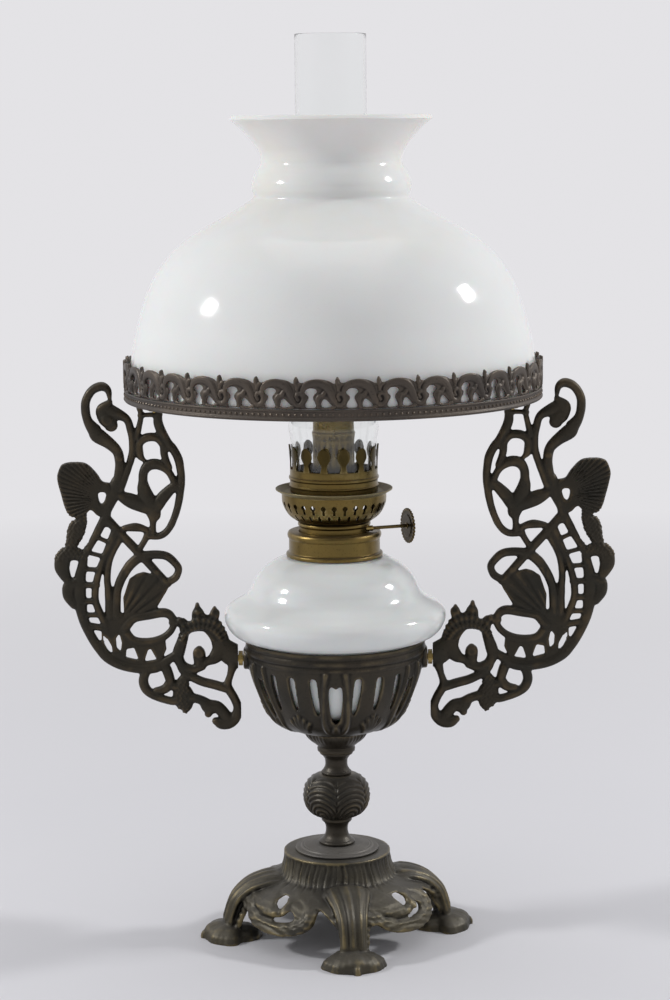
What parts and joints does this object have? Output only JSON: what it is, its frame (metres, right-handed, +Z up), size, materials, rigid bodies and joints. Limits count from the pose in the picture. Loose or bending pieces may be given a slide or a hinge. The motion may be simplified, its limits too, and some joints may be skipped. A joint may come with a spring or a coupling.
{
  "type": "kerosene lamp",
  "caption": "Table kerosene lamp with a footed stem, pierced font basket, opal font and dome shade, side scroll arms, brass round-wick burner and clear chimney.",
  "frame": {"origin": "on the floor under the lamp's axis, midway between the feet", "axes": "+Z up along the lamp's axis, +X along the arms to the right as seen from the front, +Y to the back"},
  "size_m": [0.3268, 0.24, 0.5235],
  "materials": {
    "dark_patina": "dark bronze patina, rubbed brown on the high places",
    "worn_patina": "worn olive bronze patina with golden edges",
    "aged_brass": "aged olive brass",
    "bright_brass": "handled brass",
    "steel": "plain",
    "opal_glass": "glossy milk white",
    "clear_glass": "clear",
    "cotton": "woven cotton"
  },
  "bodies": {
    "stand": {"foot_casting": "worn_patina", "foot_top_disc": "worn_patina", "stem_lower_spool": "dark_patina", "stem_knop": "dark_patina", "stem_upper_spool": "dark_patina", "calyx_cup": "dark_patina", "tie_rod": "steel", "tie_rod_washer": "steel", "tie_rod_base_nut": "steel", "tie_rod_top_nut": "steel", "font_basket": "dark_patina", "arm_right": "dark_patina", "arm_left": "dark_patina", "arm_foot_stud_right": "bright_brass", "arm_foot_stud_left": "bright_brass", "arm_top_screw_right": "bright_brass", "arm_top_screw_left": "bright_brass", "shade_ring": "dark_patina", "shade_crown": "dark_patina"},
    "shade": {"shade_glass": "opal_glass"},
    "font": {"font_glass": "opal_glass", "font_collar": "aged_brass"},
    "burner": {"burner_base": "aged_brass", "draught_bowl": "aged_brass", "burner_plate": "aged_brass", "chimney_crown": "aged_brass", "wick_tube": "aged_brass", "draught_tube": "aged_brass", "shaft_gland": "bright_brass"},
    "knob": {"wick_shaft": "bright_brass", "wick_wheel_front": "bright_brass", "wick_wheel_rear": "bright_brass", "wick_knob": "aged_brass"},
    "wick": {"wick": "cotton"},
    "chimney": {"chimney_glass": "clear_glass"}
  },
  "joints": [
    {"name": "shade_lift", "type": "slide", "parent": "stand", "child": "shade", "axis": [0, 0, 1], "range_m": [0, 0.21]},
    {"name": "font_lift", "type": "slide", "parent": "stand", "child": "font", "axis": [0, 0, 1], "range_m": [0, 0.06]},
    {"name": "burner_lift", "type": "slide", "parent": "font", "child": "burner", "axis": [0, 0, 1], "range_m": [0, 0.095]},
    {"name": "chimney_lift", "type": "slide", "parent": "burner", "child": "chimney", "axis": [0, 0, 1], "range_m": [0, 0.24]},
    {"name": "wick_knob_turn", "type": "hinge", "parent": "burner", "child": "knob", "pos_m": [0.00473, -0.01232, 0.2427], "axis": [0.9336, 0.3584, 0], "range_deg": [-144, 239]},
    {"name": "wick_raise", "type": "slide", "parent": "burner", "child": "wick", "axis": [0, 0, 1], "range_m": [-0.006, 0.01]}
  ],
  "couplings": [
    {"joint": "wick_knob_turn", "follows": "wick_raise", "rad_per_m": 416.67}
  ]
}
